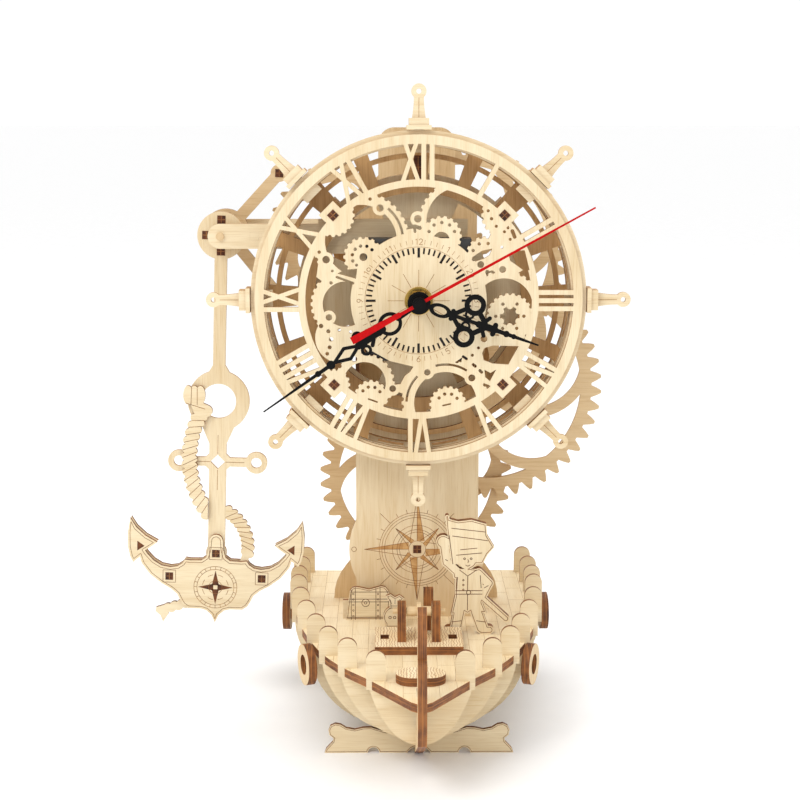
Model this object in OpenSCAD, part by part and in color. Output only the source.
// Wooden jigsaw clock: a ship's wheel dial on a column, standing on a ship's deck,
// with an anchor pendulum at one side and a gear train behind.
// +X is to the right, +Y to the back, +Z up. The origin is on the floor, under the dial's centre line.

/* [Stock] */
// Thickness of the plywood sheet
ply = 2.5; // [2.4:0.05:2.6]
// Radius of the dowels used as arbors
dowel_r = 1.5; // [1.4:0.05:1.6]
// Radial running clearance of a dowel in a bored plate
run_fit = 0.06; // [0.03:0.01:0.1]

/* [Wheel] */
// Height of the dial's centre above the floor
wheel_z = 265; // [264:1:267]
// Outer radius of the wheel's rim
rim_r = 99; // [98:0.5:100]
// Outer radius of the pierced gear ring
ring_r = 70.7; // [70:0.1:71]
// Radius of the plain chapter disc in the middle
chapter_r = 38.8; // [38:0.1:40]
// Distance from the dial's centre to each square lug, along X and along Z
lug_d = 50; // [49:0.5:51]
// Radius from the dial's centre to the end of a handle
handle_r = 125.5; // [122:0.5:128]

/* [Hands] */
// Length of the hour hand
hour_len = 74; // [60:1:80]
// Length of the minute hand
minute_len = 111; // [90:1:115]
// Length of the second hand
second_len = 115; // [90:1:118]
// Time shown, in minutes after twelve
shown_min = 219.17; // [0:0.01:720]

/* [Train] */
// Points on the escape wheel
escape_t = 24; // [20:1:30]
// Radius to the points of the escape wheel
escape_r = 45; // [44:0.5:45]

/* [Pendulum] */
// Distance of the pendulum's pivot to the left of the centre line
pivot_x = 119.2; // [119:0.1:120]
// Height of the pendulum's pivot
pivot_z = 300.5; // [299.5:0.5:301]
// Angle at which the pendulum stands, from hanging plumb, its foot to the left
swing = 2; // [0:0.5:3]
// Half the spread of the anchor's arms
anchor_w = 55; // [52:1:56]

/* [Ship] */
// Height of the deck's top face
deck_z = 61.2; // [60:0.1:62]
// Half breadth to the middle of the widest stanchions
beam = 77; // [76:0.5:78]
// Height of the stanchions above the deck
stanchion_h = 17.8; // [14:0.1:20]
// Half width of the column
column_w = 38; // [37:0.5:39]

/* [Hidden] */
$fn = 72;

// Colours of the sheet, its shaded side, the charred edge and the other materials
cream = [0.93, 0.86, 0.70];
tan_wood = [0.86, 0.73, 0.54];
char_wood = [0.42, 0.25, 0.14];
brass = [0.80, 0.66, 0.32];
black = [0.06, 0.06, 0.06];
red = [0.80, 0.05, 0.04];

// Front faces of the layers, from front to back
dial_y = -46;
rim_y = dial_y + ply;
spoke_y = rim_y + ply;
rim_rear_y = spoke_y + ply;
barrel_y = rim_rear_y + ply;
wheel_back_y = -21;
bracket_y = -15;
column_y = bracket_y + ply;
column_back_y = 27.5;
bracket_rear_y = column_back_y + ply;
second_y = 35;
great_y = 40;
third_y = 45;
bridge_y = 51;
hour_y = -58.6;
minute_y = -61.0;
second_hand_y = -63.4;
hand_t = 0.6;

// Gap between loose sheets that lie together in one node
sheet_gap = 0.05;

// Wheel
dial_r = rim_r - 2.5;
rim_in = 91.1;
ring_in = 66.6;
tenon = 2 * ply;
lug_half = 5.9;
handle_count = 8;
grip_in = 105.8;
eye_r = 4.4;
barrel_t = 1.2;
barrel_in = 90;
tick_in = 27.5;
tick_out = 31.1;
bushing_r = 4;
tongue_r = 77;
tongue_h = 14;
hour_pipe_r = 2.5;
minute_pipe_r = 1.65;
second_pin_r = 0.8;
movement_w = 62;
movement_h = 72;
movement_d = 16;

// Train: gear module, pressure angle, numbers of teeth, and each arbor as [x, z]
gear_m = 3.15;
gear_pa = 28;
great_t = 38;
second_t = 45;
third_t = 42;
pinion_t = 10;
escape_pinion_t = 8;
great_at = [0, 140];
second_at = [46, 200];
function step_at(from, dx, d, up) = [from[0] + dx, from[1] + up * sqrt(d * d - dx * dx)];
third_at = step_at(second_at, -17, gear_m * (second_t + pinion_t) / 2, 1);
escape_at = step_at(third_at, -77.6, gear_m * (third_t + escape_pinion_t) / 2, 1);
addendum = 0.85;
dedendum = 1.15;
backlash = 0.35;
bridge_post_at = [[-30, 226], [0, 70], [6, 356]];
bridge_w = 8;

// Pendulum
pivot_at = [-pivot_x, pivot_z];
shank_y = -8;
fork_y = 22.5;
pallet_d = [32.4, 37.6];
pivot_r = 2.4;
hub_r = 14.5;
hub_bar_at = [[0, 9.6], [-9, 0], [0, -9.6]];
bracket_post_at = [20.6 - pivot_x, pivot_z];
crown_tenon_at = [[0, 101.7], [-29, 86.2], [29, 86.2]];

// Column
rose_z = 105;

// Ship: station of each frame, the bow's tip and the keel's line
frame_ys = [-129, -107.5, -86, -62.5, -35, -7.5, 21, 42, 64, 88];
bow_y = -165;
stern_y = 92;
deck_edge = 3;
tab_half = 5.5;
// Half breadth to the middle of a stanchion at each station, in parts of the beam
breadth_at = [[-167, 0], [-129, 0.324], [-107.5, 0.538], [-86, 0.69], [-62.5, 0.797], [-35, 0.89],
    [-7.5, 0.955], [21, 0.99], [42, 1], [64, 0.99], [88, 0.965], [100, 0.945]];
foot_ys = [-84, 44];
windlass_z = deck_z + 22.8;
windlass_y = -73;

// ---------- shared shapes ----------

// A board that faces the front, drawn in X and Z
module facing(y, t = ply) {
    translate([0, y + t, 0]) rotate([90, 0, 0]) linear_extrude(t) children();
}

// A board that stands fore and aft, drawn in Y and Z
module standing(x, t = ply) {
    translate([x, 0, 0]) rotate([90, 0, 90]) linear_extrude(t) children();
}

// A cylinder along Y at [x, z]
module rod_y(at, y0, y1, r) {
    translate([at[0], y1, at[1]]) rotate([90, 0, 0]) cylinder(r = r, h = y1 - y0);
}

// A rectangle centred on the origin
module bar(w, h) {
    square([w, h], center = true);
}

// A flat strip with round ends between two points
module strip(a, b, r) {
    d = b - a;
    translate(a) rotate(atan2(d[1], d[0])) union() {
        translate([0, -r]) square([norm(d), 2 * r]);
        circle(r);
        translate([norm(d), 0]) circle(r);
    }
}

// A flat ring
module ring(r_out, r_in) {
    difference() {
        circle(r_out);
        circle(r_in);
    }
}

// A piece of a flat ring between two angles
module arc_band(r_out, r_in, a0, a1, n = 10) {
    polygon(concat(
        [for (i = [0:n]) let (a = a0 + (a1 - a0) * i / n) r_out * [cos(a), sin(a)]],
        [for (i = [n:-1:0]) let (a = a0 + (a1 - a0) * i / n) r_in * [cos(a), sin(a)]]));
}

// Point of an involute whose base radius is rb, where it reaches radius r
function involute_angle(rb, r) = let (p = acos(min(1, rb / r))) tan(p) * 180 / PI - p;

// Half the angle a tooth takes at radius r
function tooth_half(t, m, r) =
    let (rp = m * t / 2, rb = rp * cos(gear_pa))
    (PI * m / 2 - backlash) / 2 / rp * 180 / PI + involute_angle(rb, rp) - involute_angle(rb, max(r, rb));

// Toothed disc of t teeth and module m, with a tooth pointing along +X before it is turned by phase
module gear(t, m, phase = 0, add = addendum) {
    r_root = m * (t / 2 - dedendum);
    r_tip = m * (t / 2 + add);
    flank = [r_root, m * t / 2, m * t / 2 + m * add * 0.5, r_tip];
    rotate(phase) polygon([
        for (k = [0:t - 1], side = [-1, 1], i = [0:3])
            let (r = side < 0 ? flank[i] : flank[3 - i], a = 360 * k / t + side * tooth_half(t, m, r))
            r * [cos(a), sin(a)]
    ]);
}

// Simple decorative toothed disc with half-round gaps
module rosette(r, t) {
    difference() {
        circle(r);
        for (k = [0:t - 1])
            rotate(360 * (k + 0.5) / t) translate([r, 0]) circle(PI * r / t * 0.56, $fn = 16);
    }
}

// Curved arms from the hub to the rim of a wheel
module arms(n, r, w) {
    for (k = [0:n - 1]) rotate(360 * k / n) intersection() {
        circle(r);
        translate([0, r * 0.56]) difference() {
            ring(r * 0.56 + w / 2, r * 0.56 - w / 2);
            translate([-2 * r, -2 * r]) square([2 * r, 4 * r]);
        }
    }
}

// ---------- ship ----------

// Half breadth to the middle of a stanchion at station y
function half_beam(y) = beam * lookup(y, breadth_at);

// Height of the keel's lower edge at station y
function keel_z(y) = y > foot_ys[0] ? 0 : 0.45 * (foot_ys[0] - y);

// Height of the hull's bottom beside the keel
function hull_bottom(y) = y < -60 ? 7 - 0.24 * (y + 60) : y > 0 ? 7 + 0.0016 * y * y : 7;

// How far a section is drawn toward a V: 1 at the first frame, 0 from the fourth one back
function vee(y) = max(0, min(1, (foot_ys[0] + 20 - y) / 65));

// Outline of one side of the hull at station y: n + 1 points from the deck down to the keel
function section(y, grow = 0, n = 12) =
    let (w = half_beam(y) + tab_half - 2 + grow, v = vee(y))
    let (top = deck_z - tenon, low = hull_bottom(y) - grow)
    [for (i = [0:n]) let (a = 90 * i / n) [
        max(ply, w * pow(cos(a), 0.75 + 0.15 * v)),
        top - (top - low) * pow(sin(a), 1.1 + 0.6 * v)
    ]];

module keel_outline() {
    n = 12;
    low_bow = [for (i = [0:n]) let (y = foot_ys[0] + (bow_y - 8 - foot_ys[0]) * i / n) [y, keel_z(y)]];
    polygon(concat(
        [[stern_y - 4, 0]], low_bow,
        [[bow_y - 13, 52], [bow_y - 11, 87], [bow_y - 3, 87], [bow_y - 2, 111], [bow_y + 4, 114],
         [bow_y + 7, 109], [bow_y + 9, deck_z], [bow_y + 24, deck_z - tenon], [bow_y + 30, 34],
         [foot_ys[0], 24], [stern_y - 4, 24]]));
}

module keel() {
    color(char_wood) difference() {
        standing(-ply, tenon) keel_outline();
        for (y = foot_ys) translate([-5, y, -1]) cube([10, ply, 7]);
    }
}

// One frame: a plate across the hull with a round-topped stanchion at each side
module frame(y) {
    b = half_beam(y);
    s = section(y);
    n = len(s) - 1;
    keel_top = y < foot_ys[0] ? 24.6 + 10 * (foot_ys[0] - y) / (foot_ys[0] - bow_y - 30) : 24;
    facing(y - ply / 2) difference() {
        union() {
            polygon(concat(s, [for (i = [n:-1:0]) [-s[i][0], s[i][1]]]));
            for (side = [-1, 1]) {
                translate([side * b - tab_half, deck_z - tenon])
                    square([2 * tab_half, tenon + stanchion_h - tab_half]);
                translate([side * (b - 1.5), deck_z - tenon]) bar(tab_half, 3);
                translate([side * b, deck_z + stanchion_h - tab_half]) circle(tab_half);
            }
        }
        translate([-ply, 0]) square([tenon, min(keel_top, deck_z - tenon - 4)]);
    }
}

module bow_frames() {
    color(cream) for (i = [0:4]) frame(frame_ys[i]);
}

module stern_frames() {
    color(cream) for (i = [5:9]) frame(frame_ys[i]);
}

// Plan of the deck, notched for the stanchions and for the stem
module deck_plan() {
    n = 24;
    ys = [for (i = [0:n]) bow_y - 2 + (stern_y - bow_y + 2) * pow(i / n, 1.3)];
    edge = [for (y = ys) [y < bow_y ? 0.5 : half_beam(y) + deck_edge, y]];
    difference() {
        polygon(concat(edge, [for (i = [n:-1:0]) [-edge[i][0], edge[i][1]]]));
        for (y = frame_ys, side = [-1, 1])
            translate([side * half_beam(y), y]) bar(2 * tab_half, ply);
        translate([-ply, bow_y - 10]) square([tenon, 34]);
    }
}

module deck_lower() {
    color(char_wood) translate([0, 0, deck_z - tenon]) linear_extrude(ply) deck_plan();
}

module deck_upper() {
    color(cream) translate([0, 0, deck_z - ply]) linear_extrude(ply) deck_plan();
}

// Board with scrolled ends that the hull stands on
module foot_board(y) {
    foot = [[56, 0], [55, 2.6], [51, 7], [50.6, 9], [53, 11], [53.6, 14], [52.4, 16.8], [49.6, 18.2],
        [46.4, 17.6], [43, 15.4], [38, 14.4], [33, 15.6], [20, 16], [3, 16]];
    n = len(foot) - 1;
    facing(y) difference() {
        polygon(concat(foot, [for (i = [n:-1:0]) [-foot[i][0], foot[i][1]]]));
        translate([-ply, 6]) square([tenon, 40]);
        for (side = [-1, 1]) translate([side * 27, 0]) circle(3.4);
        translate([0, -4]) circle(8);
        hull = section(y, 0.9);
        m = len(hull) - 1;
        polygon(concat(
            [[hull[0][0] + 1, deck_z]], [for (p = hull) [p[0] + 1, p[1] - 0.4]],
            [for (i = [m:-1:0]) [-hull[i][0] - 1, hull[i][1] - 0.4]], [[-hull[0][0] - 1, deck_z]]));
    }
}

module foot_front() {
    color(cream) foot_board(foot_ys[0]);
}

module foot_rear() {
    color(cream) foot_board(foot_ys[1]);
}

// Round gun ports against the frames' sides, each two sheets thick
module port_rings() {
    for (side = [-1, 1], at = [[-73, 51.5], [48, 46]]) {
        x = half_beam(at[0]) + tab_half + 0.6;
        splay = atan((half_beam(at[0] + 1) - half_beam(at[0] - 1)) / 2);
        color(char_wood) translate([side * x, at[0], at[1]]) rotate([0, side * 90, 0]) rotate([splay, 0, 0])
            difference() {
                cylinder(r = 12.2, h = tenon);
                translate([0, 0, -1]) cylinder(r = 6, h = tenon + 2);
            }
    }
}

module windlass_platform() {
    color(tan_wood) translate([0, -67.3, deck_z]) linear_extrude(tenon) difference() {
        bar(52, 37.4);
        for (x = [-20.3, 20.3]) translate([x, 0]) bar(tenon, 8);
    }
}

module windlass_posts() {
    color(char_wood) for (x = [-12.7, 7.7]) {
        translate([x, 0, 0]) difference() {
            standing(0, tenon) union() {
                translate([windlass_y, deck_z + tenon + 11.4]) bar(9, 22.8);
                translate([windlass_y + 9, deck_z + tenon + 5]) bar(9, 10);
            }
            translate([-1, windlass_y, windlass_z]) rotate([0, 90, 0]) cylinder(r = 1.6 + run_fit, h = 10);
        }
    }
    color(char_wood) facing(-56, tenon) translate([6, deck_z + tenon + 13]) bar(6, 26);
}

module windlass_drum() {
    color(tan_wood) translate([0, windlass_y, windlass_z]) rotate([0, 90, 0]) union() {
        translate([0, 0, -15.5]) cylinder(r = 1.6, h = 31);
        translate([0, 0, -7.2]) cylinder(r = 2.8, h = 14.4);
        translate([0, 0, -1.25]) linear_extrude(ply) rosette(5.2, 8);
    }
}

module hatch_lid() {
    color(tan_wood) translate([0, -130, deck_z]) linear_extrude(tenon) union() {
        bar(12, 18);
        for (side = [-1, 1]) translate([side * 5, 0]) circle(9);
    }
}

// Treasure chest cut as one flat plate with a rear support
module chest() {
    color(cream) facing(-19) translate([0, deck_z]) polygon([
        [-44.5, 0], [-43.6, 8], [-42.8, 14], [-42, 18.6], [-40.6, 20.6], [-38.5, 21.4], [-34, 20.6],
        [-30, 19.6], [-26, 20.8], [-22.5, 21.8], [-20, 21.2], [-18.2, 19], [-16.8, 15], [-18, 0]]);
    color(tan_wood) facing(-16.5 + sheet_gap) translate([-40, deck_z + 6]) bar(13, 12);
}

module money_bag() {
    color(cream) facing(-34.5) translate([-14.2, deck_z]) difference() {
        union() {
            translate([0, 6.6]) circle(7);
            translate([0, 13.5]) bar(6, 4);
            translate([0, 15.6]) polygon([[-5.4, 4.6], [-3.2, 0.4], [-3, -2.6], [3, -2.6], [3.4, 0.6], [6, 3],
                [3, 5.2], [0.2, 3.8], [-2.4, 5.6]]);
            translate([0, 1.5]) bar(11, 3);
        }
        translate([0, -5]) bar(30, 10);
    }
}

// Generic sailor with a flag, cut as one silhouette from two sheets
module sailor_outline() {
    translate([30, deck_z]) union() {
        strip([-5, 14], [-7, 3.6], 3.6);
        strip([-7, 2.4], [-11.5, 2.4], 2.4);
        strip([5.4, 14], [9, 4], 3.8);
        strip([9, 2.6], [13.4, 2.6], 2.6);
        polygon([[-6, 41], [7, 41], [9.6, 30], [9, 20], [11.6, 13], [3, 15], [0, 12.6], [-3, 15],
            [-10, 12], [-7.6, 24], [-7.8, 34]]);
        translate([0, 46.6]) circle(5.8);
        strip([-7.6, 51], [9, 52.6], 2.1);
        translate([0.6, 53.6]) circle(5.2);
        strip([-6, 38.6], [-13, 45], 2.7);
        strip([-13, 45], [-14.6, 56], 2.8);
        translate([-15, 58]) circle(4.2);
        strip([6.6, 38.6], [13, 32], 2.8);
        strip([13, 32], [9.6, 25], 2.6);
        strip([8, 24], [23.4, 9.6], 2.1);
        strip([-7.6, 36], [-12.6, 73.4], 1.2);
        polygon([[-12.4, 72.4], [-6, 70.6], [2, 71.6], [11, 69], [11.6, 62], [16, 54.6], [12, 50],
            [9, 44], [-9, 44]]);
    }
}

module sailor() {
    color(cream) facing(-47.5) sailor_outline();
    color(tan_wood) facing(-45 + sheet_gap) sailor_outline();
}

// ---------- column ----------

module square_tenon_at(x, z, turn = 45) {
    translate([x, z]) rotate(turn) bar(tenon, tenon);
}

module lugs(d, half) {
    for (sx = [-1, 1], sz = [-1, 1]) translate([sx * d, sz * d]) rotate(45) bar(2 * half, 2 * half);
}

module lug_holes() {
    for (sx = [-1, 1], sz = [-1, 1]) square_tenon_at(sx * lug_d, sz * lug_d);
}

// Front plate of the column, with the compass swelling and the head behind the wheel
module column_front() {
    head_r = 73;
    color(cream) facing(column_y) difference() {
        union() {
            translate([-column_w, deck_z]) square([2 * column_w, wheel_z - deck_z]);
            translate([0, rose_z]) circle(42.5);
            translate([0, wheel_z]) circle(head_r);
            translate([0, wheel_z]) lugs(lug_d, 6.5);
        }
        translate([-60, 0]) square([120, deck_z]);
        translate([0, wheel_z]) lug_holes();
        translate([0, wheel_z]) for (k = [0:3]) rotate(90 * k) arc_band(60, 46, 24, 66);
        square_tenon_at(0, rose_z, 0);
    }
}

// Back plate of the column: it carries the front ends of the arbors and spreads at the deck
module column_back() {
    color(tan_wood) difference() {
        facing(column_back_y) difference() {
            union() {
                translate([-column_w, deck_z]) square([2 * column_w, 320 - deck_z]);
                translate([-24, 300]) square([48, 55]);
                strip([-14, 355], [14, 355], 10);
                translate([0, deck_z]) polygon([[-53.4, 0], [53.4, 0], [53, 5.6], [51.7, 11], [48.9, 17],
                    [45.5, 22], [41, 27.6], [-41, 27.6], [-45.5, 22], [-48.9, 17], [-51.7, 11], [-53, 5.6]]);
                strip([-20, escape_at[1]], escape_at, 11);
                strip([20, 204], second_at, 11);
            }
            for (z = [178, 232]) translate([0, z]) bar(34, 30);
            square_tenon_at(0, rose_z, 0);
        }
        for (at = [great_at, second_at, third_at, escape_at])
            rod_y(at, column_back_y - 1, column_back_y + ply + 1, dowel_r + run_fit);
        for (at = bridge_post_at)
            translate([at[0], column_back_y, at[1]]) cube([tenon, 10, tenon], center = true);
    }
}

module column_sides() {
    color(tan_wood) for (x = [-column_w, column_w - ply]) standing(x) difference() {
        translate([column_y + ply, deck_z]) square([column_back_y - column_y - ply, 255 - deck_z]);
        translate([8.7, 130]) bar(16, 30);
        translate([8.7, 200]) bar(16, 40);
    }
}

// Square bar that ties the column's plates together behind the compass rose
module column_strut() {
    color(char_wood) translate([0, 0, rose_z]) union() {
        translate([0, (column_y - 0.3 + column_back_y + ply) / 2, 0])
            cube([tenon, column_back_y + ply - column_y + 0.3, tenon], center = true);
        translate([0, (column_y + ply + column_back_y) / 2, 0])
            cube([9, column_back_y - column_y - ply, tenon], center = true);
    }
}

// ---------- wheel ----------

// Roman numerals: the width each letter takes, and the place of letter i in a numeral
numerals = ["I", "II", "III", "IV", "V", "VI", "VII", "VIII", "IX", "X", "XI", "XII"];
function letter_w(c) = c == "I" ? 4.8 : c == "V" ? 9.6 : 10.4;
function letters_w(s, n) = n == 0 ? 0 : letter_w(s[n - 1]) + letters_w(s, n - 1);
function letter_u(s, i) = letters_w(s, i) + letter_w(s[i]) / 2 - letters_w(s, len(s)) / 2;

// A slanted bar from the gear ring to the rim
module stroke(u0, u1, w = 2.8) {
    r0 = ring_r - 1.5;
    r1 = rim_in + 1.5;
    polygon([[u0 - w / 2, r0], [u0 + w / 2, r0], [u1 + w / 2, r1], [u1 - w / 2, r1]]);
}

module letter(c, u) {
    if (c == "I") stroke(u, u);
    if (c == "V") {
        stroke(u - 0.6, u - 4.2, 2.6);
        stroke(u + 0.6, u + 4.2, 2.6);
    }
    if (c == "X") {
        stroke(u - 4.6, u + 3.6, 2.6);
        stroke(u + 4.6, u - 3.6, 2.6);
    }
}

module roman_ring() {
    for (h = [1:12]) rotate(-30 * h) {
        s = numerals[h - 1];
        for (i = [0:len(s) - 1]) letter(s[i], letter_u(s, i));
    }
}

// Pierced ring: large gears as [x, z, outer radius, teeth, radius of the opening]
big_gears = [
    [-33.8, 35.1, 28.5, 40, 21], [24, 46.5, 24, 34, 19.6], [-43, -2, 20.5, 30, 13.4],
    [-32, -49, 17.8, 26, 12.6], [16, -61, 26, 36, 18.6], [50, -4, 22, 32, 17.2]
];
// Small gears as [x, z, radius, teeth]
small_gears = [
    [-50, 50, 12.6, 20], [-32.4, 25.7, 11.7, 18], [13.4, 37.9, 11.7, 18], [50, 50, 13.6, 20],
    [38.2, 27.2, 10.4, 16], [53.7, -9.2, 13.6, 22], [17.5, -62, 11, 18],
    [-28.1, -57.2, 10, 16], [-50, -50, 9.5, 16]
];
// Round holes as [x, z, radius]; the first ten have an eye of their own
dial_holes = [
    [-22.6, 54.2, 2.1], [49.2, 18.4, 2], [5.2, -42.6, 1.9], [31.6, -46, 2.1], [38.6, -22.6, 2],
    [36.3, 21.3, 2],
    [-0.6, 48, 2.2], [-54.2, 24.2, 2.2], [-52.8, -9.8, 1.9], [-15.3, -52.4, 2], [-32.4, 25.7, 2.3],
    [-62.4, -14.6, 1.3], [-57.5, -14.9, 1.3], [-53.2, -18, 1.2], [-51.6, -22.8, 1.3], [-52.5, -27.6, 1.2],
    [-54, -31.4, 1.1], [-46.8, -17.2, 1], [-40, -18.4, 1], [-38, -34.6, 1.7],
    [40.4, 52.6, 0.9], [42.4, 48, 1], [45.2, 43.6, 0.9], [50, 40.4, 0.9], [53.4, 36, 0.9], [48.6, 31.4, 0.9],
    [-50.6, 17.6, 0.8], [-51.4, 10.6, 1], [-43.6, 20.6, 0.9], [-36.4, 21, 0.9],
    [31.8, -32.4, 0.9], [35.4, -28, 0.9], [-6.8, 48.4, 0.9], [-58.2, 28.6, 1], [-28.4, 59.4, 1]
];
// Rows of small holes round a gear as [x, z, radius of the row, first angle, step, count]
hole_rows = [
    [-32.4, 25.7, 6.6, 40, 32, 6], [13.4, 37.9, 7.9, 20, 35, 5], [38.2, 27.2, 6.8, 70, 45, 4],
    [53.7, -9.2, 8.3, 0, 60, 6], [17.5, -62, 6.6, 35, 36, 4], [-28.1, -57.2, 6, 30, 38, 4]
];
// Short slots as [x0, z0, x1, z1, half width]
dial_slots = [
    [-48, 14, -38.4, 10.4, 0.7], [-29.6, -58.6, -24.6, -60.4, 0.5],
    [14.6, -62.6, 19, -61.6, 0.5], [26.4, -33.2, 28.4, -34.6, 0.8], [32.4, -38, 33.6, -39, 0.9],
    [36.4, -41.6, 37.4, -42.6, 0.9], [51, 45, 52, 42.6, 0.8], [54.6, 40.8, 56, 37.4, 1.1],
    [-2.4, 43.6, 0.6, 42.6, 1.1], [-2.6, 43.4, -2.2, 40.6, 0.8]
];

module eyes(extra) {
    for (i = [0:9]) {
        hole = dial_holes[i];
        translate([hole[0], hole[1]]) circle(hole[2] + extra, $fn = 32);
    }
}

// Parts of the ring that stay solid between the gears
module gear_plates() {
    ring(chapter_r + 3.6, chapter_r - 4);
    ring(ring_r, ring_in);
    polygon([[28, -22], [56, -20], [66, -24], [60, -36], [47, -52], [24, -44]]);
    polygon([[-58, 27], [-47.3, 26], [-38, 20], [-34, 10], [-46, 4], [-60, 14]]);
    polygon([[-24, -26], [-30, -30], [-22, -50], [-8, -56], [-2, -68], [4, -44], [-6, -36]]);
    translate([-46, -22]) circle(15);
    translate([52, 30]) circle(15);
}

// Odd-shaped openings in those plates
module gear_gaps() {
    polygon([[37.6, -31], [39, -28], [44, -26.6], [59.2, -27], [53.2, -38], [44, -37.4], [38.6, -35.4]]);
    polygon([[52.6, 26.6], [57, 29.4], [62, 29.6], [65, 18], [62, 17.4], [57.6, 20.6], [53.6, 23.4]]);
    polygon([[31, 25.4], [37, 29.4], [43, 30.6], [41.4, 26.6], [38, 24.6], [33, 23]]);
    polygon([[-47.6, 16], [-44, 18.2], [-36, 18.9], [-36.8, 13]]);
    difference() {
        polygon([[-29, -29], [-17, -35.8], [-3, -39.2], [-5, -42.4], [-8, -44.6], [-10.6, -49.6],
            [-14, -50], [-30, -38]]);
        translate([-32, -49]) rosette(17.8, 26);
    }
    polygon([[39, -41], [42.6, -43], [46, -41], [42.4, -48], [39.6, -45.6]]);
    translate([13.2, 35.6]) intersection() {
        circle(4.8);
        translate([-5, 1]) square([10, 5]);
    }
    translate([-33.8, 35.1]) arc_band(25.4, 23.9, 9, 50);
    translate([16, -61]) arc_band(23.8, 22.4, 57, 105);
    translate([16, -61]) arc_band(23.8, 22.4, 136, 178);
}

module gear_web() {
    difference() {
        union() {
            difference() {
                union() {
                    for (g = big_gears) translate([g[0], g[1]]) rosette(g[2], g[3]);
                    gear_plates();
                }
                for (g = big_gears) translate([g[0], g[1]]) circle(g[4]);
            }
            intersection() {
                circle(ring_r);
                union() {
                    for (g = small_gears) translate([g[0], g[1]]) rosette(g[2], g[3]);
                    eyes(2.2);
                }
            }
            ring(chapter_r + 1.2, chapter_r - 4);
            ring(ring_r, ring_in);
        }
        gear_gaps();
        for (h = dial_holes) translate([h[0], h[1]]) circle(h[2], $fn = 32);
        for (w = hole_rows, k = [0:w[5] - 1])
            translate([w[0], w[1]]) rotate(w[3] + k * w[4]) translate([w[2], 0]) circle(1, $fn = 24);
        for (p = dial_slots) strip([p[0], p[1]], [p[2], p[3]], p[4]);
        translate([53.7, -9.2]) rosette(5.8, 6);
    }
}

module minute_slots() {
    for (i = [0:59]) rotate(6 * i) {
        long_slot = i % 5 == 0;
        translate([long_slot ? tick_in - 2.2 : tick_in, long_slot ? -0.75 : -0.55])
            square([tick_out - (long_slot ? tick_in - 2.2 : tick_in), long_slot ? 1.5 : 1.1]);
    }
}

// Everything cut from the dial's sheet but the hole for the movement's bush
module dial_sheet() {
    facing(dial_y) translate([0, wheel_z]) difference() {
        union() {
            ring(dial_r, rim_in);
            roman_ring();
            intersection() {
                circle(ring_r + 0.01);
                gear_web();
            }
            circle(chapter_r);
            lugs(lug_d, lug_half);
        }
        lug_holes();
        minute_slots();
    }
}

// The pierced dial: rim, numerals, gear ring, lugs and chapter disc cut from one sheet
module dial_face() {
    color(cream) difference() {
        union() {
            facing(dial_y) translate([0, wheel_z]) strip([24, -24], [33.4, -26.4], 1.4);
            facing(dial_y) translate([0, wheel_z]) strip([-57, 15.2], [-52.6, 14.4], 0.8);
            dial_sheet();
        }
        rod_y([0, wheel_z], dial_y - 1, rim_y + 1, bushing_r);
    }
}

module rim_ring_front() {
    color(tan_wood) facing(rim_y) translate([0, wheel_z]) ring(rim_r, 90);
}

module rim_ring_rear() {
    color(tan_wood) facing(rim_rear_y) translate([0, wheel_z]) ring(rim_r, 90);
}

// Arcs that fill the layer between the two rings, between the handles
module rim_spacers() {
    color(tan_wood) facing(spoke_y) translate([0, wheel_z])
        for (k = [0:handle_count - 1]) rotate(360 * k / handle_count) arc_band(98, 92, 4.2, 45 - 4.2);
}

// Bent strips that join the rings to the back wheel
module barrel_strips() {
    color(tan_wood) for (k = [0:handle_count - 1]) difference() {
        facing(barrel_y, wheel_back_y - barrel_y) translate([0, wheel_z])
            rotate(360 * k / handle_count) arc_band(barrel_in + barrel_t, barrel_in, -19.5, 19.5, 13);
        for (side = [-1, 1])
            translate([0, 0, wheel_z]) rotate([0, -360 * k / handle_count - side * 10.5, 0])
                translate([barrel_in, (barrel_y + wheel_back_y) / 2, 0]) cube([8, 7, 16], center = true);
    }
}

// Rear wheel: eight pairs of windows with eight pairs of slots outside them
module wheel_back() {
    color(tan_wood) facing(wheel_back_y) translate([0, wheel_z]) difference() {
        union() {
            ring(94.5, 62);
            lugs(lug_d, 6.5);
        }
        for (k = [0:handle_count - 1], side = [-1, 1]) rotate(360 * k / handle_count + side * 12) {
            arc_band(82.5, 70, -7.5, 7.5, 5);
            arc_band(89.5, 85.5, -7.6, 7.6, 5);
        }
        lug_holes();
        translate([0, tongue_r]) bar(tenon, tongue_h);
    }
}

// Square posts through the lugs of the dial, the rear wheel and the column's head
module wheel_posts() {
    color(char_wood) for (sx = [-1, 1], sz = [-1, 1])
        translate([sx * lug_d, 0, wheel_z + sz * lug_d]) rotate([0, 45, 0]) union() {
            translate([0, (dial_y - 0.3 + column_y + ply) / 2, 0])
                cube([tenon, column_y + ply - dial_y + 0.3, tenon], center = true);
            translate([0, (rim_y + wheel_back_y) / 2, 0])
                cube([9, wheel_back_y - rim_y, tenon], center = true);
        }
    color(char_wood) translate([0, (wheel_back_y - 0.3 + column_y) / 2, wheel_z + tongue_r])
        cube([tenon, column_y - wheel_back_y + 0.3, tongue_h], center = true);
}

// Half width of a handle's grip at radius r
function grip_w(r) =
    let (u = (r - grip_in) / (handle_r - eye_r - grip_in))
    4 - 1.1 * sin(120 * u);

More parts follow.
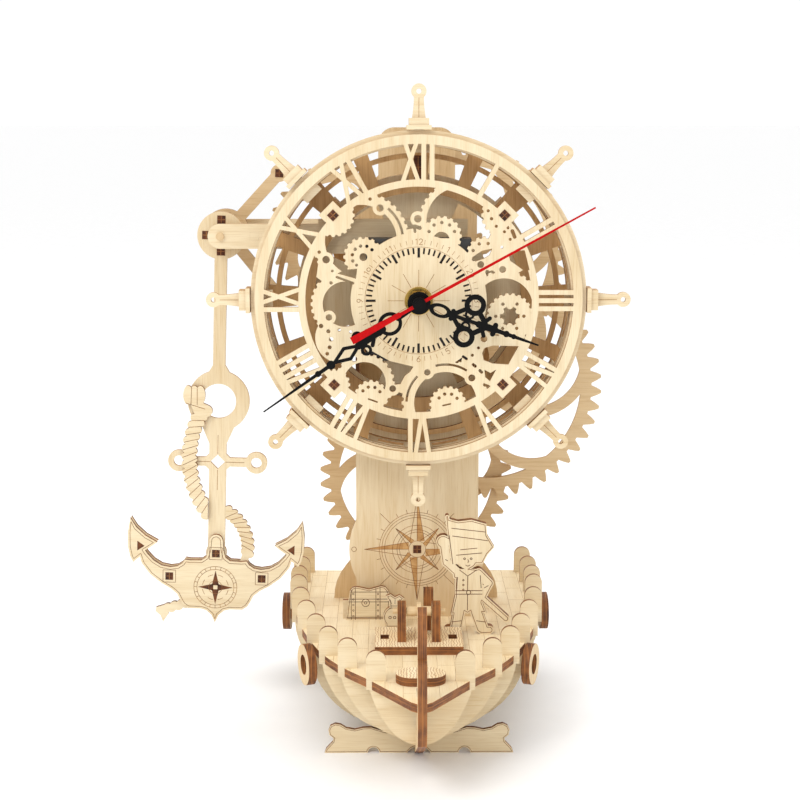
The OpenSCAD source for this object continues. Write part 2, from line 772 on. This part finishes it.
module handle() {
    n = 8;
    rs = [for (i = [0:n]) grip_in + (handle_r - eye_r - 2 - grip_in) * i / n];
    difference() {
        union() {
            polygon(concat([for (r = rs) [grip_w(r), r]], [for (i = [n:-1:0]) [-grip_w(rs[i]), rs[i]]]));
            translate([0, handle_r - eye_r]) circle(eye_r);
            translate([-2.5, 98]) square([5, grip_in - 98]);
            translate([-6, 86]) square([12, 12.5]);
        }
        translate([0, handle_r - eye_r]) circle(1.5);
    }
}

module handles() {
    color(cream) facing(spoke_y) translate([0, wheel_z])
        for (k = [0:handle_count - 1]) rotate(360 * k / handle_count) handle();
}

// Two collars on each handle, outside the rim, each slotted for the handle's neck
module ferrules() {
    color(tan_wood) translate([0, spoke_y + ply / 2, wheel_z]) for (k = [0:handle_count - 1])
        rotate([0, 360 * k / handle_count, 0]) difference() {
            union() {
                translate([0, 0, 100.5]) cube([14.6, 12.5, ply], center = true);
                translate([0, 0, (101.75 + grip_in) / 2]) cube([11.8, 10, grip_in - 101.75], center = true);
            }
            translate([0, 0, 103]) cube([5, ply, 20], center = true);
        }
}

// ---------- movement and hands ----------

module movement_case() {
    color(black) difference() {
        translate([0, rim_y + movement_d / 2, wheel_z])
            cube([movement_w, movement_d, movement_h], center = true);
        rod_y([0, wheel_z], rim_y - 1, rim_y + 12, bushing_r);
        translate([0, rim_y + movement_d, wheel_z - 16]) cube([16, 6, 52], center = true);
    }
}

module movement_bushing() {
    color(brass) difference() {
        rod_y([0, wheel_z], dial_y - 6.5, rim_y + 12, bushing_r);
        rod_y([0, wheel_z], dial_y - 8, rim_y + 14, hour_pipe_r + 0.1);
    }
}

module hand_nut() {
    color(brass) difference() {
        union() {
            rod_y([0, wheel_z], dial_y - 1, dial_y, 8.3);
            facing(dial_y - 3.5, ply) translate([0, wheel_z]) circle(6.2, $fn = 6);
        }
        rod_y([0, wheel_z], dial_y - 5, dial_y + 1, bushing_r);
    }
}

// Angles of the hands, clockwise from twelve
minute_a = shown_min % 60 * 6;
hour_a = shown_min / 2;
second_a = (shown_min * 360) % 360;

// A flat ring stretched along Y
module link(a_out, b_out, a_in, b_in) {
    difference() {
        scale([a_out, b_out]) circle(1);
        scale([a_in, b_in]) circle(1);
    }
}

// Hour hand along +Y: a long eye, two round scrolls and a pair of cross knobs before the point
module hour_shape() {
    s = hour_len / 74;
    scale([s, s]) union() {
        circle(6.7);
        translate([0, 13]) link(4, 6.8, 2.2, 4);
        strip([-2.4, 20.4], [2.4, 20.4], 1.3);
        strip([0, 19], [0, 47], 1.1);
        for (side = [-1, 1]) {
            translate([side * 9.8, 31.2]) ring(6.3, 3.3);
            translate([side * 3.5, 30]) ring(2.9, 1.5);
            strip([side * 1, 21.4], [side * 5.6, 26.6], 1.3);
            strip([side * 6, 35.6], [0, 42], 1.5);
            strip([side * 0.4, 38.4], [side * 5.4, 41.8], 1.2);
        }
        strip([0, 37], [0, 47], 2);
        strip([-2.7, 46.4], [2.7, 46.4], 1.5);
        translate([0, 54]) circle(1.9);
        translate([0, 58.6]) circle(1.5);
        polygon([[-1.4, 46], [1.4, 46], [1, 60], [0.45, 74], [-0.45, 74], [-1, 60]]);
    }
}

// Minute hand along +Y: a wide eye, small scrolls, an open lens and two knobs before the point
module minute_shape() {
    s = minute_len / 111;
    scale([s, s]) union() {
        circle(4.6);
        strip([0, 0], [0, 15], 1.5);
        translate([0, 20.6]) link(6.8, 7.2, 4.7, 5.1);
        strip([0, 26], [0, 43], 2.2);
        for (side = [-1, 1]) {
            translate([side * 4.7, 40.6]) ring(3.3, 1.5);
            strip([side * 2, 33.6], [side * 4.4, 36], 1.2);
            strip([0, 43], [side * 3.6, 51], 1);
            strip([side * 3.6, 51], [0, 60], 1);
        }
        translate([0, 62.6]) circle(2.6);
        strip([0, 60], [0, 72], 1.1);
        translate([0, 71.8]) circle(1.8);
        polygon([[-1, 71], [1, 71], [0.4, 111], [-0.4, 111]]);
    }
}

module hour_hand() {
    color(black) facing(hour_y, hand_t) translate([0, wheel_z]) rotate(-hour_a) difference() {
        hour_shape();
        circle(hour_pipe_r);
    }
}

module minute_hand() {
    color(black) facing(minute_y, hand_t) translate([0, wheel_z]) rotate(-minute_a) difference() {
        minute_shape();
        circle(minute_pipe_r);
    }
}

module second_hand() {
    color(red) facing(second_hand_y, hand_t) translate([0, wheel_z]) rotate(-second_a) difference() {
        union() {
            circle(3);
            polygon([[-1, 0], [-1, -12], [-1.5, -13], [-2.2, -44.6], [2.2, -44.6], [1.5, -13], [1, -12],
                [1, 0], [0.45, second_len], [-0.45, second_len]]);
        }
        circle(second_pin_r);
    }
}

module hour_pipe() {
    color(black) difference() {
        rod_y([0, wheel_z], hour_y, dial_y + 8, hour_pipe_r);
        rod_y([0, wheel_z], hour_y - 1, dial_y + 9, minute_pipe_r + 0.1);
    }
}

module minute_pipe() {
    color(black) difference() {
        rod_y([0, wheel_z], minute_y, dial_y + 8, minute_pipe_r);
        rod_y([0, wheel_z], minute_y - 1, dial_y + 9, second_pin_r + 0.1);
    }
}

module second_pin() {
    color(black) union() {
        rod_y([0, wheel_z], second_hand_y, dial_y + 8, second_pin_r);
        rod_y([0, wheel_z], second_hand_y - 1.2, second_hand_y, 3.9);
        rod_y([0, wheel_z], second_hand_y - 1.8, second_hand_y - 1.2, 2.6);
    }
}

// ---------- gear train ----------

// Direction from one arbor to another, in degrees
function heading(a, b) = atan2(b[1] - a[1], b[0] - a[0]);

// Phases that put a tooth of the wheel into a gap of the pinion on the line of centres
great_phase = heading(great_at, second_at);
second_pinion_phase = heading(second_at, great_at) + 180 / pinion_t;
second_phase = heading(second_at, third_at);
third_pinion_phase = heading(third_at, second_at) + 180 / pinion_t;
third_phase = heading(third_at, escape_at);
escape_pinion_phase = heading(escape_at, third_at) + 180 / escape_pinion_t;

module train_wheel(at, y, t, phase, arm_n, hub, rim_w) {
    r_rim = gear_m * (t / 2 - dedendum) - rim_w;
    difference() {
        facing(y) translate(at) union() {
            difference() {
                gear(t, gear_m, phase);
                circle(r_rim);
            }
            intersection() {
                circle(r_rim + 0.5);
                union() {
                    circle(hub);
                    arms(arm_n, r_rim + 0.5, 7);
                }
            }
        }
        rod_y(at, y - 1, y + ply + 1, dowel_r);
    }
}

module great_wheel() {
    color(tan_wood) train_wheel(great_at, great_y, great_t, great_phase, 6, 13, 6);
}

module second_wheel() {
    color(tan_wood) train_wheel(second_at, second_y, second_t, second_phase, 6, 15, 7);
}

module third_wheel() {
    color(tan_wood) train_wheel(third_at, third_y, third_t, third_phase, 6, 14, 6);
}

module pinion(at, y, t, phase) {
    color(char_wood) difference() {
        facing(y, ply) translate(at) gear(t, gear_m, phase);
        rod_y(at, y - 1, y + ply + 1, dowel_r);
    }
}

module second_pinion() {
    pinion(second_at, great_y, pinion_t, second_pinion_phase);
}

module third_pinion() {
    pinion(third_at, second_y, pinion_t, third_pinion_phase);
}

module escape_pinion() {
    pinion(escape_at, third_y, escape_pinion_t, escape_pinion_phase);
}

// Escape wheel with raked points
module escape_wheel() {
    root = escape_r - 7;
    color(tan_wood) difference() {
        facing(second_y) translate(escape_at) difference() {
            polygon([for (k = [0:escape_t - 1], p = [[root, 0], [escape_r, 9], [escape_r, 11], [root, 13.5]])
                let (a = (k + p[1] / 15) * 360 / escape_t) p[0] * [cos(a), sin(a)]]);
            difference() {
                circle(root - 5);
                circle(11);
                arms(5, root - 4.5, 6);
            }
        }
        rod_y(escape_at, second_y - 1, second_y + ply + 1, dowel_r);
    }
}

module arbor(at, y0, y1) {
    color(tan_wood) rod_y(at, y0, y1, dowel_r);
}

module great_arbor() {
    arbor(great_at, column_back_y - 3, bridge_y + ply + 12);
}

module second_arbor() {
    arbor(second_at, column_back_y - 3, bridge_y + ply + 2);
}

module third_arbor() {
    arbor(third_at, column_back_y - 3, bridge_y + ply + 2);
}

module escape_arbor() {
    arbor(escape_at, column_back_y - 3, bridge_y + ply + 2);
}

module winding_knob() {
    color(cream) difference() {
        facing(bridge_y + ply + 1.5, tenon) translate(great_at) rosette(13, 8);
        rod_y(great_at, bridge_y, bridge_y + 20, dowel_r);
    }
}

// Rear plate of the train, a chain of bars from arbor to arbor and down to the deck
module train_bridge() {
    color(tan_wood) difference() {
        facing(bridge_y) difference() {
            union() {
                strip(great_at, second_at, bridge_w);
                strip(second_at, third_at, bridge_w);
                strip(third_at, escape_at, bridge_w);
                strip(great_at, bridge_post_at[0], bridge_w);
                strip(escape_at, bridge_post_at[0], bridge_w);
                strip(third_at, bridge_post_at[2], bridge_w);
                strip(great_at, bridge_post_at[1], bridge_w);
                for (at = [great_at, second_at, third_at, escape_at]) translate(at) circle(bridge_w + 2.5);
                polygon([[-26, deck_z], [26, deck_z], [10, 82], [-10, 82]]);
            }
            translate([-60, 0]) square([120, deck_z]);
        }
        for (at = [great_at, second_at, third_at, escape_at])
            rod_y(at, bridge_y - 1, bridge_y + ply + 1, dowel_r + run_fit);
        for (at = bridge_post_at)
            translate([at[0], bridge_y, at[1]]) cube([tenon, 10, tenon], center = true);
    }
}

module bridge_posts() {
    color(char_wood) for (at = bridge_post_at) {
        translate([at[0], (column_back_y + bridge_y + ply) / 2, at[1]])
            cube([tenon, bridge_y + ply - column_back_y, tenon], center = true);
        translate([at[0], (bracket_rear_y + bridge_y) / 2, at[1]])
            cube([9, bridge_y - bracket_rear_y, tenon], center = true);
    }
}

// ---------- pendulum ----------

// Front and rear arms that hold the pivot, tied by a square post
module bracket_arm(y, reach) {
    difference() {
        facing(y) difference() {
            union() {
                translate(pivot_at) circle(7.5);
                translate([-pivot_x, pivot_z - 7.5]) square([pivot_x - 30, 15]);
                translate([-60, pivot_z - 10.4]) square([60 + reach, 20.8]);
            }
            translate(bracket_post_at) bar(tenon + 2 * sheet_gap, tenon + 2 * sheet_gap);
        }
        rod_y(pivot_at, y - 1, y + ply + 1, pivot_r);
        if (y > column_y) rod_y(escape_at, y - 1, y + ply + 1, 6);
    }
}

module pivot_brackets() {
    color(cream) bracket_arm(bracket_y, 30);
    color(tan_wood) bracket_arm(bracket_rear_y, -26);
    post_l = bracket_rear_y + ply - bracket_y;
    color(char_wood) translate([bracket_post_at[0], bracket_y + post_l / 2, bracket_post_at[1]])
        cube([tenon, post_l, tenon], center = true);
}

module pivot_dowel() {
    color(tan_wood) rod_y(pivot_at, bracket_y - 1.5, bracket_rear_y + ply + 1.5, pivot_r);
}

module hub_bar_holes() {
    for (p = hub_bar_at) translate(p) bar(tenon, tenon);
}

// Turns the pendulum's parts about its pivot, to where it stands
module swung() {
    translate([-pivot_x, 0, pivot_z]) rotate([0, swing, 0]) translate([pivot_x, 0, -pivot_z]) children();
}

// Front hub, rod, ring and stock of the anchor in one board
module anchor_shank() {
    ring_z = 198.4 - pivot_z;
    stock_z = 160 - pivot_z;
    low_z = 92 - pivot_z;
    crown_z = crown_tenon_at[0][1] - pivot_z;
    half = [[3.8, -4], [3.8, ring_z + 22.5], [7, ring_z + 17], [10, ring_z - 16], [5.3, ring_z - 27],
        [5.3, stock_z + 5], [7.6, stock_z + 2.8], [20, stock_z + 2.8], [20, stock_z - 2.8],
        [7.6, stock_z - 2.8], [5.3, stock_z - 5], [5.3, low_z]];
    n = len(half) - 1;
    discs = [[0, 0, hub_r], [0, crown_z, 6.5], [0, ring_z, 19.1], [-24, stock_z, 6.8], [24, stock_z, 6.8]];
    color(cream) swung() difference() {
        union() {
            facing(shank_y) translate(pivot_at)
                polygon(concat(half, [for (i = [n:-1:0]) [-half[i][0], half[i][1]]]));
            for (d = discs) rod_y(pivot_at + [d[0], d[1]], shank_y, shank_y + ply, d[2]);
        }
        facing(shank_y - 1, ply + 2) translate(pivot_at) {
            translate([0, ring_z]) circle(10.8);
            translate([0, crown_z]) bar(tenon, tenon);
            for (side = [-1, 1]) translate([side * 24, stock_z]) circle(3.3);
            translate([0, stock_z]) rotate(45) bar(6.4, 6.4);
            hub_bar_holes();
        }
        rod_y(pivot_at, shank_y - 1, shank_y + ply + 1, pivot_r + run_fit);
    }
}

// Two arms that carry the pallets beside the escape wheel
module pallet_fork() {
    color(tan_wood) swung() difference() {
        facing(fork_y) translate(pivot_at) difference() {
            union() {
                circle(hub_r);
                for (side = [-1, 1]) {
                    strip([0, 0], [pallet_d[0], side * pallet_d[1]], 3.6);
                    translate([pallet_d[0], side * pallet_d[1]]) circle(5.4);
                }
            }
            hub_bar_holes();
            for (side = [-1, 1]) translate([pallet_d[0], side * pallet_d[1]]) bar(tenon, tenon);
        }
        rod_y(pivot_at, fork_y - 1, fork_y + ply + 1, pivot_r + run_fit);
    }
}

// Square bars through the two hubs, and the two pallets
module fork_bars() {
    hub_bar_l = fork_y + ply - shank_y + 0.3;
    pallet_l = second_y + ply + 1.3 - fork_y;
    color(char_wood) swung() {
        for (p = hub_bar_at)
            translate([pivot_at[0] + p[0], shank_y - 0.3 + hub_bar_l / 2, pivot_at[1] + p[1]])
                cube([tenon, hub_bar_l, tenon], center = true);
        for (side = [-1, 1])
            translate([pallet_d[0] - pivot_x, fork_y - 0.3 + pallet_l / 2, pivot_z + side * pallet_d[1]])
                cube([tenon, pallet_l, tenon], center = true);
    }
}

// One side of the anchor's crown, from beside its boss round to its bottom point
function crown_side(s) = [for (p = [
    [4.2, 110], [4.6, 104], [6, 99.2], [9, 97], [16, 96.8], [19.3, 97.2], [21, 94.7], [24, 92.7],
    [28.5, 92], [34, 93], [39, 96], [43.2, 100.6], [44.4, 102.4], [41, 104.6], [36.8, 107.8],
    [44, 111.8], [50, 117.2], [53.7, 123], [55.2, 113.5], [55, 104.5], [53.6, 98.2], [51.7, 94.5],
    [49.5, 96.6], [47.6, 98.2], [46.3, 94], [41, 87], [34, 81.6], [28, 78.2], [24, 74.8], [22, 70.8],
    [20.2, 67.8], [17, 65.6], [9, 65.6], [5.5, 64.6], [2.2, 61.6], [0, 56.7]])
        [s * p[0] * anchor_w / 55, p[1]]];

// One sheet of the crown with the tenons' holes
module crown_sheet() {
    hole = tenon + 2 * sheet_gap;
    left = crown_side(-1);
    right = crown_side(1);
    n = len(left) - 1;
    translate([-pivot_x, 0]) difference() {
        union() {
            polygon(concat(right, [for (i = [n - 1:-1:0]) left[i]]));
            translate([0, 109.7]) circle(4.2);
        }
        for (p = crown_tenon_at) translate(p) bar(hole, hole);
    }
}

// Front and rear sheets of the crown, and the tenons that tie them together
module anchor_crown() {
    color(cream) swung() facing(shank_y - ply) crown_sheet();
    color(tan_wood) swung() facing(shank_y + ply) crown_sheet();
    color(char_wood) swung() for (p = crown_tenon_at)
        translate([p[0] - pivot_x, shank_y + ply / 2, p[1]]) cube([tenon, 3 * ply, tenon], center = true);
}

// Lays of a rope along an arc, as overlapping ovals that lean with the twist
module lays(centre, r, a0, a1, n, half) {
    for (i = [0:n - 1]) {
        a = a0 + (a1 - a0) * i / (n - 1);
        translate(centre + r * [cos(a), sin(a)]) rotate(a - 18)
            scale([half, half * 0.62]) circle(1, $fn = 24);
    }
}

// Rope cut from sheet: a knot and a long run before the shank, and a run and a tail beside it
module anchor_rope() {
    shank_w = 5.3 + sheet_gap;
    color(cream) swung() facing(shank_y - ply) translate([-pivot_x, 0]) difference() {
        union() {
            lays([41.4, 163], 58.8, 152, 218, 15, 5.1);
            for (x = [-18.6, -14.8, -11]) translate([x, 202]) scale([3, 6]) circle(1, $fn = 28);
            strip([-12, 194.6], [-7, 192.4], 3.6);
            strip([-14, 197], [-12, 192], 3);
        }
        translate([-shank_w, 100]) square([20, 46]);
    }
    color(cream) swung() facing(shank_y) translate([-pivot_x, 0]) difference() {
        union() {
            lays([-6.3, 105.5], 26, 62, -8, 9, 4.4);
            strip([19.6, 104], [15, 88], 2.4);
            strip([15, 88], [4, 79], 2.4);
            strip([4, 79], [-14, 71], 2.4);
            for (p = [[-14, 70.4], [-18, 68.4], [-22.4, 66.8], [-26.8, 65.4], [-31, 64]])
                translate(p) rotate(-35) scale([2.7, 4]) circle(1, $fn = 24);
            polygon([[-30, 67.4], [-37.4, 64.8], [-37.8, 62.2], [-34.6, 59.6], [-33, 55.4], [-29.6, 60.6]]);
        }
        translate([-shank_w, 100]) square([2 * shank_w, 60]);
    }
}

keel();
bow_frames();
stern_frames();
deck_lower();
deck_upper();
foot_front();
foot_rear();
port_rings();
windlass_platform();
windlass_posts();
windlass_drum();
hatch_lid();
chest();
money_bag();
sailor();
column_front();
column_back();
column_sides();
column_strut();
dial_face();
rim_ring_front();
rim_spacers();
rim_ring_rear();
barrel_strips();
wheel_back();
wheel_posts();
handles();
ferrules();
movement_case();
movement_bushing();
hand_nut();
hour_hand();
minute_hand();
second_hand();
hour_pipe();
minute_pipe();
second_pin();
great_wheel();
great_arbor();
winding_knob();
second_wheel();
second_pinion();
second_arbor();
third_wheel();
third_pinion();
third_arbor();
escape_wheel();
escape_pinion();
escape_arbor();
train_bridge();
bridge_posts();
pivot_brackets();
pivot_dowel();
anchor_shank();
pallet_fork();
fork_bars();
anchor_crown();
anchor_rope();
